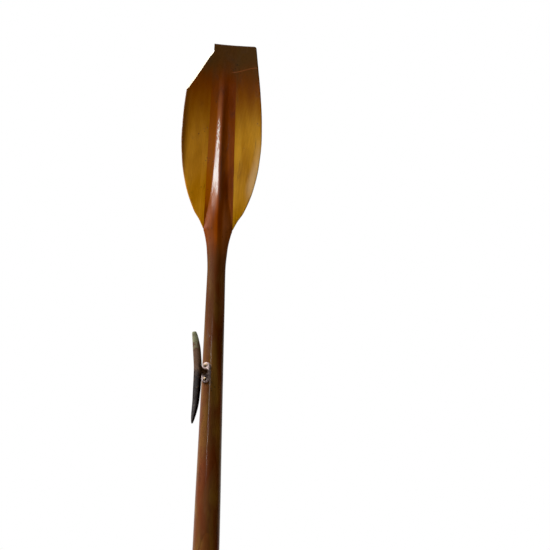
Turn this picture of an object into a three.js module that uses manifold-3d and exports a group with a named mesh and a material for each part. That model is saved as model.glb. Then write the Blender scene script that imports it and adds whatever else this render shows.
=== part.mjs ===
// A laminated wooden sculling oar with a spoon blade, a leather sleeve and button, and a horn cleat
// screwed to the loom. Millimetres. +Z runs up the loom to the blade's tip, -Y is the blade's hollow
// face, and the origin is on the loom's centreline at the button's outboard face. "From the tip" is a
// distance measured down the loom from the blade's tip.
import * as THREE from "three";
import { mergeVertices } from "three/addons/utils/BufferGeometryUtils.js";
import Module from "manifold-3d";

const wasm = await Module();
wasm.setup();

// The oar as a whole.
const LENGTH = 2980;
const INBOARD = 880;
const TIP_Z = LENGTH - INBOARD;
const GRIP_LENGTH = 130;
const LOOM_END = LENGTH - GRIP_LENGTH;
const JOINT_GAP = 0.2;
const LOOSE_GAP = 0.3;

// Half the width of blade and loom, seen from the face, by distance from the tip.
const halfWidth = through([
  [0, 66],
  [56, 72],
  [113, 77.8],
  [185, 82.2],
  [225, 82.7],
  [284, 78.6],
  [340, 68.6],
  [396, 49.6],
  [419, 36.6],
  [447, 26],
  [483, 20],
  [530, 17.3],
  [600, 17.9],
  [840, 20],
  [1025, 21.7],
  [1350, 22.7],
  [1700, 22.5],
  [1980, 21.5],
  [2420, 21.5],
  [2650, 19],
  [LOOM_END, 17.2],
]);

// The centre stock that the wings are glued to: as wide as the loom until the blade opens out past it.
const stockHalf = through([
  [0, 24.5],
  [225, 27],
  [450, 28.6],
]);
const centreHalf = (d) => Math.min(halfWidth(d), stockHalf(d));

// How far the blade sweeps forward, towards its face, and how deep it is dished across.
const SWEEP_DEPTH = 45;
const SWEEP_START = 450;
const sweep = (d) =>
  d < SWEEP_START ? -SWEEP_DEPTH * (1 - d / SWEEP_START) ** 2 : 0;
const dish = through([
  [0, 3],
  [180, 7.5],
  [340, 4],
  [450, 0],
  [LENGTH, 0],
]);

// The blade's sheet, which thins towards its edges, and what the spine stands above it on either side.
const sheet = through([
  [0, 4.2],
  [180, 5],
  [390, 5],
  [490, 0.6],
  [LENGTH, 0.6],
]);
const EDGE_THINNING = 0.35;
const faceSpine = through([
  [0, 0],
  [60, 0.1],
  [150, 2.6],
  [205, 4],
  [250, 4.8],
  [300, 5.7],
  [350, 7.6],
  [395, 10.8],
  [440, 14.4],
  [480, 16.4],
  [530, 17],
]);
const backSpine = through([
  [0, 0.6],
  [80, 2.4],
  [205, 7],
  [315, 11],
  [410, 14.6],
  [470, 16.6],
  [530, 17],
]);
const ROUND_FROM = 530;
const spineHalf = through([
  [0, 9],
  [120, 11],
  [205, 12.5],
  [300, 15.5],
  [350, 18],
  [400, 23],
  [440, 28.6],
]);

// The spine's section is a crest with hollow flanks in the blade, and becomes a half round at the neck.
const spinePower = through([
  [350, 1.6],
  [450, 2],
]);
const spineExponent = through([
  [350, 1.5],
  [440, 0.7],
  [480, 0.5],
]);
const clamp01 = (t) => Math.min(1, Math.max(0, t));
function spineShape(across, d) {
  const fall = Math.max(0, 1 - Math.min(1, across) ** spinePower(d));
  return fall ** spineExponent(d);
}

// A smooth curve through rows of [position, value] that never overshoots them.
function through(rows) {
  const secant = rows
    .slice(1)
    .map((row, i) => (row[1] - rows[i][1]) / (row[0] - rows[i][0]));
  const slope = rows.map((row, i) => {
    if (i === 0) return secant[0];
    if (i === secant.length) return secant[i - 1];
    const product = secant[i - 1] * secant[i];
    return product <= 0 ? 0 : (2 * product) / (secant[i - 1] + secant[i]);
  });
  return (position) => {
    const last = rows.length - 1;
    if (position <= rows[0][0]) return rows[0][1];
    if (position >= rows[last][0]) return rows[last][1];
    const i = rows.findIndex((row) => row[0] > position) - 1;
    const span = rows[i + 1][0] - rows[i][0];
    const t = (position - rows[i][0]) / span;
    const rise = rows[i + 1][1] - rows[i][1];
    const a = slope[i] * span - rise;
    const b = rise - slope[i + 1] * span;
    return rows[i][1] + t * rise + t * (1 - t) * (a * (1 - t) + b * t);
  };
}

// The blade's and loom's surfaces at x across and d from the tip: the middle, and the face (-1) or back
// (+1).
function middle(x, d) {
  return sweep(d) - dish(d) * (x / halfWidth(d)) ** 2;
}
function surface(x, d, side) {
  const across = Math.abs(x) / halfWidth(d);
  const skin = (sheet(d) / 2) * (1 - EDGE_THINNING * across ** 4);
  const reach = Math.min(centreHalf(d), spineHalf(d));
  const height =
    d >= ROUND_FROM
      ? halfWidth(d) - sheet(d) / 2
      : (side < 0 ? faceSpine : backSpine)(d);
  return (
    middle(x, d) + side * (skin + height * spineShape(Math.abs(x) / reach, d))
  );
}

// A solid between two skins of equally many points at each station, such as a lamination's outside and
// its glue face.
function loft(stations, outer, inner) {
  const position = [];
  const index = [];
  const points = outer(stations[0]).length;
  const ring = 2 * points;
  for (const d of stations) {
    const outline = [...outer(d), ...inner(d).reverse()];
    for (const [x, y] of outline) position.push(x, y, TIP_Z - d);
  }
  for (let s = 0; s < stations.length - 1; s++)
    for (let i = 0; i < ring; i++) {
      const a = s * ring + i;
      const b = s * ring + ((i + 1) % ring);
      index.push(a, b, b + ring, a, b + ring, a + ring);
    }
  const last = (stations.length - 1) * ring;
  for (let i = 0; i < points - 1; i++) {
    const j = ring - 1 - i;
    index.push(i, j, j - 1, i, j - 1, i + 1);
    index.push(last + i, last + j - 1, last + j);
    index.push(last + i, last + i + 1, last + j - 1);
  }
  const geometry = new THREE.BufferGeometry();
  geometry.setAttribute(
    "position",
    new THREE.Float32BufferAttribute(position, 3),
  );
  geometry.setIndex(index);
  return facingOut(geometry);
}

// Turns every face round if the solid came out inside out.
function facingOut(geometry) {
  const p = geometry.getAttribute("position");
  const index = geometry.getIndex().array;
  const [a, b, c] = [
    new THREE.Vector3(),
    new THREE.Vector3(),
    new THREE.Vector3(),
  ];
  let volume = 0;
  for (let i = 0; i < index.length; i += 3) {
    a.fromBufferAttribute(p, index[i]);
    b.fromBufferAttribute(p, index[i + 1]);
    c.fromBufferAttribute(p, index[i + 2]);
    volume += a.dot(b.cross(c));
  }
  if (volume < 0)
    for (let i = 0; i < index.length; i += 3)
      [index[i + 1], index[i + 2]] = [index[i + 2], index[i + 1]];
  return geometry;
}

// Booleans.
function solid(geometry) {
  const bare = geometry.clone();
  bare.deleteAttribute("normal");
  bare.deleteAttribute("uv");
  const merged = mergeVertices(bare, 1e-4);
  return new wasm.Manifold(
    new wasm.Mesh({
      numProp: 3,
      vertProperties: merged.getAttribute("position").array,
      triVerts: new Uint32Array(merged.getIndex().array),
    }),
  );
}
function geometryOf(manifold) {
  const mesh = manifold.getMesh();
  const geometry = new THREE.BufferGeometry();
  geometry.setAttribute(
    "position",
    new THREE.BufferAttribute(mesh.vertProperties, 3),
  );
  geometry.setIndex(new THREE.BufferAttribute(mesh.triVerts, 1));
  return geometry;
}
function cut(geometry, tools) {
  return geometryOf(
    tools.reduce((body, tool) => body.subtract(solid(tool)), solid(geometry)),
  );
}

// Stations from one distance to another in equal steps no longer than the one given.
function steps(from, to, step) {
  const count = Math.ceil((to - from) / step);
  return Array.from(
    { length: count + 1 },
    (_, i) => from + ((to - from) * i) / count,
  );
}

// A profile of [radius, z] rows turned about the loom's centreline, or about an axis that a matrix then
// places.
function turned(profile, segments) {
  const points = profile.map(([r, z]) => new THREE.Vector2(r, z));
  return new THREE.LatheGeometry(points, segments).rotateX(Math.PI / 2);
}

// ---- The loom: two halves glued on the centre plane, hollow between the neck and the handle.
const SKIN_SEGMENTS = 12;
const FLAT_SEGMENTS = 2;
const HOLLOW_START = 900;
const HOLLOW_FULL = 1000;
const WALL = 9.3;
const hollowRadius = (d) => centreHalf(d) - WALL;
const hollowDepth = (d) =>
  d < HOLLOW_START
    ? 0
    : Math.sqrt(clamp01((d - HOLLOW_START) / (HOLLOW_FULL - HOLLOW_START)));

function skin(side, width) {
  return (d) =>
    Array.from({ length: SKIN_SEGMENTS + 1 }, (_, i) => {
      const x = -width(d) * Math.cos((Math.PI * i) / SKIN_SEGMENTS);
      return [x, surface(x, d, side)];
    });
}

// The glue face, level with the middle apart from the routed channel that makes the hollow.
function glueFace(side) {
  const arc = SKIN_SEGMENTS - 2 * FLAT_SEGMENTS;
  return (d) => {
    const half = centreHalf(d);
    const radius = hollowRadius(d);
    return Array.from({ length: SKIN_SEGMENTS + 1 }, (_, i) => {
      const turn = (Math.PI * (i - FLAT_SEGMENTS)) / arc;
      const flatLeft = i < FLAT_SEGMENTS;
      const flatRight = i > SKIN_SEGMENTS - FLAT_SEGMENTS;
      const flat =
        (Math.min(i, SKIN_SEGMENTS - i) / FLAT_SEGMENTS) * (half - radius);
      let x = -radius * Math.cos(turn);
      let depth = radius * Math.sin(turn) * hollowDepth(d);
      if (flatLeft) x = flat - half;
      if (flatRight) x = half - flat;
      if (flatLeft || flatRight) depth = 0;
      return [x, middle(x, d) + side * (JOINT_GAP / 2 + depth)];
    });
  };
}

const loomStations = [
  ...steps(0, 330, 33),
  ...steps(350, 550, 20),
  ...steps(650, HOLLOW_START, 90),
  ...steps(HOLLOW_START + 20, HOLLOW_FULL, 20),
  ...steps(1100, 1980, 110),
  ...steps(2420, LOOM_END, 86),
];

// The hardwood strip let into the loom's back, and the groove it lies in.
const STRIP_START = 440;
const STRIP_HALF = 5;
const STRIP_DEPTH = 4.5;
const stripHalf = through([
  [STRIP_START, 1.5],
  [590, STRIP_HALF],
  [LOOM_END, STRIP_HALF],
]);
const stripDepth = through([
  [STRIP_START, 1.2],
  [590, STRIP_DEPTH],
  [LOOM_END, STRIP_DEPTH],
]);
const stripStations = [
  ...steps(STRIP_START, 550, 22),
  ...loomStations.filter((d) => d > 550),
];
const STRIP_SEGMENTS = 4;
function stripSkin(extraHalf, level) {
  return (d) =>
    Array.from({ length: STRIP_SEGMENTS + 1 }, (_, i) => {
      const x = (stripHalf(d) + extraHalf) * ((2 * i) / STRIP_SEGMENTS - 1);
      return [x, level(x, d)];
    });
}
const stripFloor = (d) => surface(0, d, 1) - stripDepth(d);
const backboneStrip = loft(
  stripStations,
  stripSkin(0, (x, d) => surface(x, d, 1) - JOINT_GAP / 2),
  stripSkin(0, (x, d) => stripFloor(d)),
);
const grooveStations = [
  STRIP_START - JOINT_GAP,
  ...stripStations.slice(1, -1),
  LOOM_END + 1,
];
const stripGroove = loft(
  grooveStations,
  stripSkin(JOINT_GAP, (x, d) => surface(x, d, 1) + 3),
  stripSkin(JOINT_GAP, (x, d) => stripFloor(d) - JOINT_GAP),
);

// ---- The wings: one plank glued to each side of the centre stock. The left one has lost its corner at
// the tip, split off down the glue line and then across the grain to its edge.
const WING_SEGMENTS = 6;
const SPLIT_END = 12;
const BREAK_EDGE = 111;
const wingInner = (d) => centreHalf(d) + JOINT_GAP;
const breakLine = through([
  [SPLIT_END, stockHalf(SPLIT_END) + 1],
  [36, 40.3],
  [65, 54.6],
  [94, 69],
  [BREAK_EDGE, halfWidth(BREAK_EDGE)],
]);
const WING_END = 435;
function wing(sign, stations, outerHalf) {
  const list = (side) => (d) =>
    Array.from({ length: WING_SEGMENTS + 1 }, (_, i) => {
      const from = wingInner(d);
      const x = sign * (from + ((outerHalf(d) - from) * i) / WING_SEGMENTS);
      return [x, surface(x, d, side)];
    });
  return loft(stations, list(-1), list(1));
}
const wingRight = wing(
  1,
  [...steps(0, 330, 33), ...steps(350, 410, 20), WING_END],
  halfWidth,
);
const wingLeft = wing(
  -1,
  [
    ...steps(SPLIT_END, BREAK_EDGE, 20),
    ...steps(132, 330, 33),
    ...steps(350, 410, 20),
    WING_END,
  ],
  (d) => (d < BREAK_EDGE ? breakLine(d) : halfWidth(d)),
);

// ---- The handle: a turned grip whose spigot is glued into the hollow.
const GRIP_RADIUS = 16.6;
const SPIGOT_LENGTH = 150;
const SPIGOT_CLEARANCE = 0.45;
const spigotRadius = (d) => hollowRadius(d) - SPIGOT_CLEARANCE;
const BUTT_Z = -INBOARD;
const SHOULDER_Z = BUTT_Z + GRIP_LENGTH - LOOSE_GAP;
const handleProfile = [
  [0, BUTT_Z],
  [GRIP_RADIUS - 4, BUTT_Z],
  [GRIP_RADIUS - 1.2, BUTT_Z + 1.6],
  [GRIP_RADIUS, BUTT_Z + 5],
  [GRIP_RADIUS + 0.4, BUTT_Z + 50],
  [GRIP_RADIUS - 0.4, BUTT_Z + 100],
  [GRIP_RADIUS - 0.6, SHOULDER_Z - 5],
  [GRIP_RADIUS + 0.4, SHOULDER_Z],
  [spigotRadius(LOOM_END), SHOULDER_Z],
  [spigotRadius(LOOM_END - SPIGOT_LENGTH), SHOULDER_Z + SPIGOT_LENGTH],
  [0, SHOULDER_Z + SPIGOT_LENGTH],
];
const handle = turned(handleProfile, 24);

// ---- The solid core that stops the hollow loom crushing in the rowlock.
const SLEEVE_TOP = 190;
const SLEEVE_BOTTOM = -70;
const CORE_OVERHANG = 35;
const coreRadius = hollowRadius(TIP_Z) - SPIGOT_CLEARANCE;
const rowlockCore = turned(
  [
    [0, SLEEVE_BOTTOM - CORE_OVERHANG],
    [coreRadius, SLEEVE_BOTTOM - CORE_OVERHANG],
    [coreRadius, 110],
    [0, 110],
  ],
  24,
);

// ---- Leatherwork: a sleeve with its seam on the loom's back, and a button of three straps wound on over
// it.
const LEATHER_SEGMENTS = 24;
const SEAM_GAP = 0.8;
const SLEEVE_INNER = halfWidth(TIP_Z) + LOOSE_GAP;
const SLEEVE_OUTER = SLEEVE_INNER + 2.5;
const STRAP_THICKNESS = 4.4;
const BUTTON_WIDTH = 28;
function leatherRing(inner, outer, bottom, top, seamTurn) {
  const slit = SEAM_GAP / 2 / inner;
  const shape = new THREE.Shape();
  shape.absarc(0, 0, outer, seamTurn + slit, seamTurn - slit + 2 * Math.PI);
  shape.absarc(
    0,
    0,
    inner,
    seamTurn - slit + 2 * Math.PI,
    seamTurn + slit,
    true,
  );
  return new THREE.ExtrudeGeometry(shape, {
    depth: top - bottom,
    bevelEnabled: false,
    curveSegments: LEATHER_SEGMENTS,
  }).translate(0, 0, bottom);
}
const strapInner = [0, 1, 2].map(
  (i) => SLEEVE_OUTER + LOOSE_GAP + i * (STRAP_THICKNESS + LOOSE_GAP),
);
const BUTTON_OUTER = strapInner[2] + STRAP_THICKNESS;

// ---- Copper tacks round both ends of the sleeve, and copper nails through the button into the loom.
const TACKS_ROUND = 7;
const NAILS_ROUND = 4;
const TACK_INSET = 8;
const TACK = { head: 3.2, crown: 1.2, shank: 0.8, length: 8 };
const NAIL = { head: 4, crown: 1.5, shank: 1.1, length: 24 };
const HOLE_CLEARANCE = 0.3;
const FASTENER_SEGMENTS = 10;

// A fastener along +Z with its head's underside at z = 0 and its shank below.
function tackShape({ head, crown, shank, length }) {
  return turned(
    [
      [0, -length],
      [shank, 1.6 * shank - length],
      [shank, 0],
      [head, 0],
      [0.75 * head, 0.65 * crown],
      [0, crown],
    ],
    FASTENER_SEGMENTS,
  );
}
function holeShape({ shank, length }) {
  const radius = shank + HOLE_CLEARANCE;
  return turned(
    [
      [0, -length - HOLE_CLEARANCE],
      [radius, -length - HOLE_CLEARANCE],
      [radius, 3],
      [0, 3],
    ],
    6,
  );
}

// Places something made along +Z so that it points away from the centreline, at a turn from +X and a
// height.
function outward(turn, radius, z) {
  const direction = new THREE.Vector3(Math.cos(turn), Math.sin(turn), 0);
  const placed = new THREE.Matrix4().makeRotationFromQuaternion(
    new THREE.Quaternion().setFromUnitVectors(
      new THREE.Vector3(0, 0, 1),
      direction,
    ),
  );
  return placed.setPosition(direction.multiplyScalar(radius).setZ(z));
}
function ringOfFasteners(name, kind, count, radius, z) {
  return Array.from({ length: count }, (_, i) => ({
    name: `${name}_${i + 1}`,
    kind,
    place: outward(
      Math.PI / 2 + (2 * Math.PI * (i + 0.5)) / count,
      radius + JOINT_GAP,
      z,
    ),
  }));
}
const tacks = [
  ...ringOfFasteners(
    "outboard_tack",
    TACK,
    TACKS_ROUND,
    SLEEVE_OUTER,
    SLEEVE_TOP - TACK_INSET,
  ),
  ...ringOfFasteners(
    "inboard_tack",
    TACK,
    TACKS_ROUND,
    SLEEVE_OUTER,
    SLEEVE_BOTTOM + TACK_INSET,
  ),
];
const nails = ringOfFasteners(
  "button_nail",
  NAIL,
  NAILS_ROUND,
  BUTTON_OUTER,
  -BUTTON_WIDTH / 2,
);
const holes = (fasteners) =>
  fasteners.map(({ kind, place }) => holeShape(kind).applyMatrix4(place));
const tackHoles = holes(tacks);
const nailHoles = holes(nails);

// ---- The horn cleat: one casting of horns, neck and a saddle base, screwed to the face side of the loom.
const CLEAT_FROM_TIP = 741;
const CLEAT_Z = TIP_Z - CLEAT_FROM_TIP;
const CLEAT_TURN = THREE.MathUtils.degToRad(-90 - 40);
const UPPER_HORN = 64;
const LOWER_HORN = 102;
const CLEAT_SEAT = halfWidth(CLEAT_FROM_TIP);
const BASE_LENGTH = 38;
const BASE_WIDTH = 18;
const BASE_TOP = CLEAT_SEAT + 3;
const HORN_CENTRE = 42;
const HORN_SEGMENTS = 12;
const SCREW_OFFSET = 12.8;
const SCREW = { head: 3.6, sink: 2.4, shank: 1.7, length: 13 };

// The cleat is made with its height along +X and its horns along +Z, then turned to where it sits. Its
// upper horn is blunt and its lower one drawn out to a point; -1 is the lower horn's tip and 1 the upper
// one's.
const hornHalf = through([
  [-1, 1.5],
  [-0.93, 3.3],
  [-0.77, 5.5],
  [-0.6, 6.6],
  [-0.3, 7.6],
  [0, 7.9],
  [0.5, 7.7],
  [0.8, 6.3],
  [0.95, 5],
  [1, 4],
]);
const HORN_FLATNESS = 0.72;
const hornRise = through([
  [-1, 10],
  [-0.55, 2.2],
  [-0.1, 0.8],
  [0.42, 5],
  [0.82, 11.5],
  [1, 16],
]);
function horns() {
  const along = steps(-1, 1, 0.125);
  const ovals = (half) => (t) =>
    Array.from({ length: HORN_SEGMENTS / 2 + 1 }, (_, i) => {
      const turn = (Math.PI * i) / (HORN_SEGMENTS / 2);
      const blunt = i === 0 || i === HORN_SEGMENTS / 2 ? 0.12 : Math.sin(turn);
      return [
        HORN_CENTRE +
          hornRise(t) +
          half * HORN_FLATNESS * hornHalf(t) * blunt,
        hornHalf(t) * Math.cos(turn),
      ];
    });
  const geometry = loft(along, ovals(1), ovals(-1));
  const p = geometry.getAttribute("position");
  along.forEach((t, s) => {
    const ring = p.count / along.length;
    for (let i = 0; i < ring; i++)
      p.setZ(s * ring + i, t * (t < 0 ? LOWER_HORN : UPPER_HORN));
  });
  return facingOut(geometry);
}
function cleatNeck() {
  return turned(
    [
      [0, CLEAT_SEAT + 1],
      [7.5, CLEAT_SEAT + 1],
      [7.5, BASE_TOP],
      [5.6, BASE_TOP + 3],
      [5, BASE_TOP + 7],
      [6, HORN_CENTRE - 3],
      [0, HORN_CENTRE - 1],
    ],
    16,
  ).rotateY(Math.PI / 2);
}
function cleatBase() {
  const half = BASE_LENGTH / 2 - BASE_WIDTH / 2;
  const shape = new THREE.Shape();
  shape.absarc(half, 0, BASE_WIDTH / 2, -Math.PI / 2, Math.PI / 2);
  shape.absarc(-half, 0, BASE_WIDTH / 2, Math.PI / 2, (3 * Math.PI) / 2);
  return new THREE.ExtrudeGeometry(shape, {
    depth: BASE_TOP - CLEAT_SEAT + 4,
    bevelEnabled: false,
    curveSegments: 8,
  })
    .translate(0, 0, CLEAT_SEAT - 4)
    .rotateY(Math.PI / 2);
}
function countersink(z) {
  const { head, sink, shank } = SCREW;
  const gap = HOLE_CLEARANCE;
  return turned(
    [
      [0, -8],
      [shank + gap, -8],
      [shank + gap, -sink - gap],
      [head + gap, 0],
      [head + gap, 1],
      [0, 1],
    ],
    16,
  )
    .rotateY(Math.PI / 2)
    .translate(BASE_TOP, 0, z);
}
function cleatSeatCutter() {
  return turned(
    [
      [0, -60],
      [CLEAT_SEAT + LOOSE_GAP, -60],
      [CLEAT_SEAT + LOOSE_GAP, 60],
      [0, 60],
    ],
    48,
  );
}
const cleatPlace = new THREE.Matrix4()
  .makeRotationZ(CLEAT_TURN)
  .setPosition(0, 0, CLEAT_Z);
const cleat = cut(
  geometryOf(
    solid(horns()).add(solid(cleatNeck())).add(solid(cleatBase())),
  ),
  [cleatSeatCutter(), countersink(SCREW_OFFSET), countersink(-SCREW_OFFSET)],
).applyMatrix4(cleatPlace);

function screwShape({ head, sink, shank, length }) {
  return turned(
    [
      [0, -length],
      [shank, 3 - length],
      [shank, -sink],
      [head, 0],
      [0.7 * head, 0.4],
      [0, 0.6],
    ],
    12,
  );
}
const screws = [SCREW_OFFSET, -SCREW_OFFSET].map((offset, i) => ({
  name: `cleat_screw_${i + 1}`,
  place: outward(CLEAT_TURN, BASE_TOP, CLEAT_Z + offset),
}));
const screwHoles = screws.map(({ place }) =>
  holeShape(SCREW).applyMatrix4(place),
);

// ---- The loom halves, bored for the fasteners and grooved for the strip. Each is two lengths of timber
// that meet in a long scarf inboard of the cleat, and the two halves' scarfs are well apart.
const FACE_SCARF = 1190;
const BACK_SCARF = 1560;
const SCARF_SLOPE = 8;
const SCARF_REACH = 45;
function outboardOf(side, fromTip, shift) {
  const level = (y) => TIP_Z - fromTip + SCARF_SLOPE * side * y + shift;
  const shape = new THREE.Shape([
    new THREE.Vector2(-SCARF_REACH, level(-SCARF_REACH)),
    new THREE.Vector2(SCARF_REACH, level(SCARF_REACH)),
    new THREE.Vector2(2 * SCARF_REACH, TIP_Z + 10),
    new THREE.Vector2(-2 * SCARF_REACH, TIP_Z + 10),
  ]);
  return solid(
    new THREE.ExtrudeGeometry(shape, {
      depth: 2 * SCARF_REACH,
      bevelEnabled: false,
    })
      .translate(0, 0, -SCARF_REACH)
      .rotateY(Math.PI / 2)
      .rotateX(Math.PI / 2),
  );
}
function lengthsOf(half, side, fromTip) {
  const shift = (JOINT_GAP / 2) * Math.hypot(1, SCARF_SLOPE);
  return [
    geometryOf(solid(half).intersect(outboardOf(side, fromTip, shift))),
    geometryOf(solid(half).subtract(outboardOf(side, fromTip, -shift))),
  ];
}
const [outboardFace, inboardFace] = lengthsOf(
  cut(loft(loomStations, skin(-1, centreHalf), glueFace(-1)), [
    ...tackHoles,
    ...nailHoles,
    ...screwHoles,
  ]),
  -1,
  FACE_SCARF,
);
const [outboardBack, inboardBack] = lengthsOf(
  cut(loft(loomStations, skin(1, centreHalf), glueFace(1)), [
    stripGroove,
    ...tackHoles,
    ...nailHoles,
  ]),
  1,
  BACK_SCARF,
);

// ---- Colours and the group.
function material(color, roughness, metalness) {
  return new THREE.MeshStandardMaterial({ color, roughness, metalness });
}
const cedar = material(0x5a2408, 0.25, 0);
const spruce = material(0x965f12, 0.25, 0);
const ash = material(0xa87a3c, 0.3, 0);
const bareWood = material(0xb08a58, 0.7, 0);
const hide = material(0x4a2a18, 0.6, 0);
const copper = material(0x9a5a38, 0.35, 0.9);
const darkBronze = material(0x2a2018, 0.4, 0.8);
const brass = material(0xa08858, 0.3, 0.9);

const oar = new THREE.Group();
function piece(name, geometry, look) {
  const mesh = new THREE.Mesh(geometry, look);
  mesh.name = name;
  oar.add(mesh);
}
piece("outboard_face_half", outboardFace, cedar);
piece("outboard_back_half", outboardBack, cedar);
piece("inboard_face_half", inboardFace, cedar);
piece("inboard_back_half", inboardBack, cedar);
piece("backbone_strip", backboneStrip, ash);
piece("blade_wing_left", wingLeft, spruce);
piece("blade_wing_right", wingRight, spruce);
piece("handle", handle, bareWood);
piece("rowlock_core", rowlockCore, ash);
piece(
  "sleeve",
  cut(
    leatherRing(
      SLEEVE_INNER,
      SLEEVE_OUTER,
      SLEEVE_BOTTOM,
      SLEEVE_TOP,
      Math.PI / 2,
    ),
    [...tackHoles, ...nailHoles],
  ),
  hide,
);
["inner", "middle", "outer"].forEach((name, i) => {
  const ring = leatherRing(
    strapInner[i],
    strapInner[i] + STRAP_THICKNESS,
    -BUTTON_WIDTH,
    0,
    (i * Math.PI) / 2,
  );
  piece(`button_strap_${name}`, cut(ring, nailHoles), hide);
});
for (const { name, kind, place } of [...tacks, ...nails])
  piece(name, tackShape(kind).applyMatrix4(place), copper);
piece("cleat", cleat, darkBronze);
for (const { name, place } of screws)
  piece(name, screwShape(SCREW).applyMatrix4(place), brass);

export default oar;
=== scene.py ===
"""The looks of a varnished wooden sculling oar: laminated spoon blade with a broken corner, leather sleeve
and button, bare grip and bronze horn cleat. Shapes are in millimetres in the oar's own frame, with +Z up to
the tip, and "d" is always a distance from the tip down the loom."""

import random
from math import asin, ceil, cos, exp, pi, radians, sin, sqrt

import bmesh
import bpy
from mathutils import Matrix, Vector, noise


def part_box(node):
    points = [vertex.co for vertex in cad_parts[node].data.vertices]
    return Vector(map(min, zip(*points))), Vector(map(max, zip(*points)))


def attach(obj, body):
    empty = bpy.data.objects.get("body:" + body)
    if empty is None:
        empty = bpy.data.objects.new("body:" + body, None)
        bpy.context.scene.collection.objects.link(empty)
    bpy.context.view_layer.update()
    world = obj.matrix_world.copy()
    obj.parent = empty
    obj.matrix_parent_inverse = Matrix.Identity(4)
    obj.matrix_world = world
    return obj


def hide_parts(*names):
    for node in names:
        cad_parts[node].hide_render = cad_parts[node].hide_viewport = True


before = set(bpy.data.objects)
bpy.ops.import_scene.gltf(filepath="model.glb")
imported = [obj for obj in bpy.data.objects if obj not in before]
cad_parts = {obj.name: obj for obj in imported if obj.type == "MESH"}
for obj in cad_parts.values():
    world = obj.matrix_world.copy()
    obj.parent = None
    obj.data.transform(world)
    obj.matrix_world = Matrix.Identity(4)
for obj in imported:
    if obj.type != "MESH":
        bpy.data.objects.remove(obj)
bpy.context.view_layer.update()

MM = 0.001
TIP_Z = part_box("outboard_face_half")[1][2] / MM
BUTT_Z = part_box("handle")[0][2] / MM
LOOM_END = TIP_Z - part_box("inboard_back_half")[0][2] / MM


# ---- Curves and the blade's section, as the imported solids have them.


def through(rows):
    """A smooth curve through rows of (position, value) that never overshoots them."""
    gaps = list(zip(rows, rows[1:]))
    secant = [(b[1] - a[1]) / (b[0] - a[0]) for a, b in gaps]
    slope = [secant[0]]
    for before, after in zip(secant, secant[1:]):
        product = before * after
        slope.append(0 if product <= 0 else 2 * product / (before + after))
    slope.append(secant[-1])

    def value(position):
        if position <= rows[0][0]:
            return rows[0][1]
        if position >= rows[-1][0]:
            return rows[-1][1]
        i = next(k for k, row in enumerate(rows) if row[0] > position) - 1
        span = rows[i + 1][0] - rows[i][0]
        t = (position - rows[i][0]) / span
        rise = rows[i + 1][1] - rows[i][1]
        a = slope[i] * span - rise
        b = rise - slope[i + 1] * span
        return rows[i][1] + t * rise + t * (1 - t) * (a * (1 - t) + b * t)

    return value


half_width = through([
    (0, 66), (56, 72), (113, 77.8), (185, 82.2), (225, 82.7), (284, 78.6), (340, 68.6), (396, 49.6),
    (419, 36.6), (447, 26), (483, 20), (530, 17.3), (600, 17.9), (840, 20), (1025, 21.7), (1350, 22.7),
    (1700, 22.5), (1980, 21.5), (2420, 21.5), (2650, 19), (LOOM_END, 17.2),
])
stock_half = through([(0, 24.5), (225, 27), (450, 28.6)])
SWEEP_DEPTH = 45
SWEEP_START = 450
dish = through([(0, 3), (180, 7.5), (340, 4), (450, 0), (LOOM_END, 0)])
sheet = through([(0, 4.2), (180, 5), (390, 5), (490, 0.6), (LOOM_END, 0.6)])
EDGE_THINNING = 0.35
face_spine = through([
    (0, 0), (60, 0.1), (150, 2.6), (205, 4), (250, 4.8), (300, 5.7), (350, 7.6), (395, 10.8), (440, 14.4),
    (480, 16.4), (530, 17),
])
back_spine = through([(0, 0.6), (80, 2.4), (205, 7), (315, 11), (410, 14.6), (470, 16.6), (530, 17)])
spine_half = through([(0, 9), (120, 11), (205, 12.5), (300, 15.5), (350, 18), (400, 23), (440, 28.6)])
spine_power = through([(350, 1.6), (450, 2)])
spine_exponent = through([(350, 1.5), (440, 0.7), (480, 0.5)])
ROUND_FROM = 530
EDGE_RADIUS = 1.9
CORNER_RADIUS = 5


def clamp01(t):
    return min(1, max(0, t))


def centre_half(d):
    return min(half_width(d), stock_half(d))


def rounding(distance, radius):
    """The share of its full thickness that a board has at a distance from its rounded edge."""
    return sqrt(1 - (1 - clamp01(distance / radius)) ** 2)


def middle(x, d):
    sweep = -SWEEP_DEPTH * (1 - d / SWEEP_START) ** 2 if d < SWEEP_START else 0
    return sweep - dish(d) * (x / half_width(d)) ** 2


def spine_shape(across, d):
    """The spine's section: a crest with hollow flanks in the blade, becoming a half round at the neck."""
    return max(0, 1 - min(1, across) ** spine_power(d)) ** spine_exponent(d)


def surface(x, d, side, thickness=1):
    """The face (side -1) or the back (side 1) at x across and d from the tip."""
    across = abs(x) / half_width(d)
    skin = sheet(d) / 2 * (1 - EDGE_THINNING * min(1, across) ** 4)
    reach = min(centre_half(d), spine_half(d))
    if d >= ROUND_FROM:
        height = half_width(d) - sheet(d) / 2
    else:
        height = face_spine(d) if side < 0 else back_spine(d)
    return middle(x, d) + side * (skin + height * spine_shape(abs(x) / reach, d)) * thickness


def steps(first, last, step):
    count = ceil((last - first) / step)
    return [first + (last - first) * i / count for i in range(count + 1)]


# ---- Mesh making.


def loose_object(name, data):
    """A new object in the scene, not yet riding on a body."""
    made = bpy.data.objects.new(name, data)
    bpy.context.collection.objects.link(made)
    return made


def as_mesh(work, name):
    mesh = bpy.data.meshes.new(name)
    work.to_mesh(mesh)
    work.free()
    return mesh


def weld(work):
    bmesh.ops.remove_doubles(work, verts=work.verts, dist=0.002)


def face_out(work):
    bmesh.ops.recalc_face_normals(work, faces=work.faces)


def move(work, matrix):
    bmesh.ops.transform(work, matrix=matrix, verts=work.verts)


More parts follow.
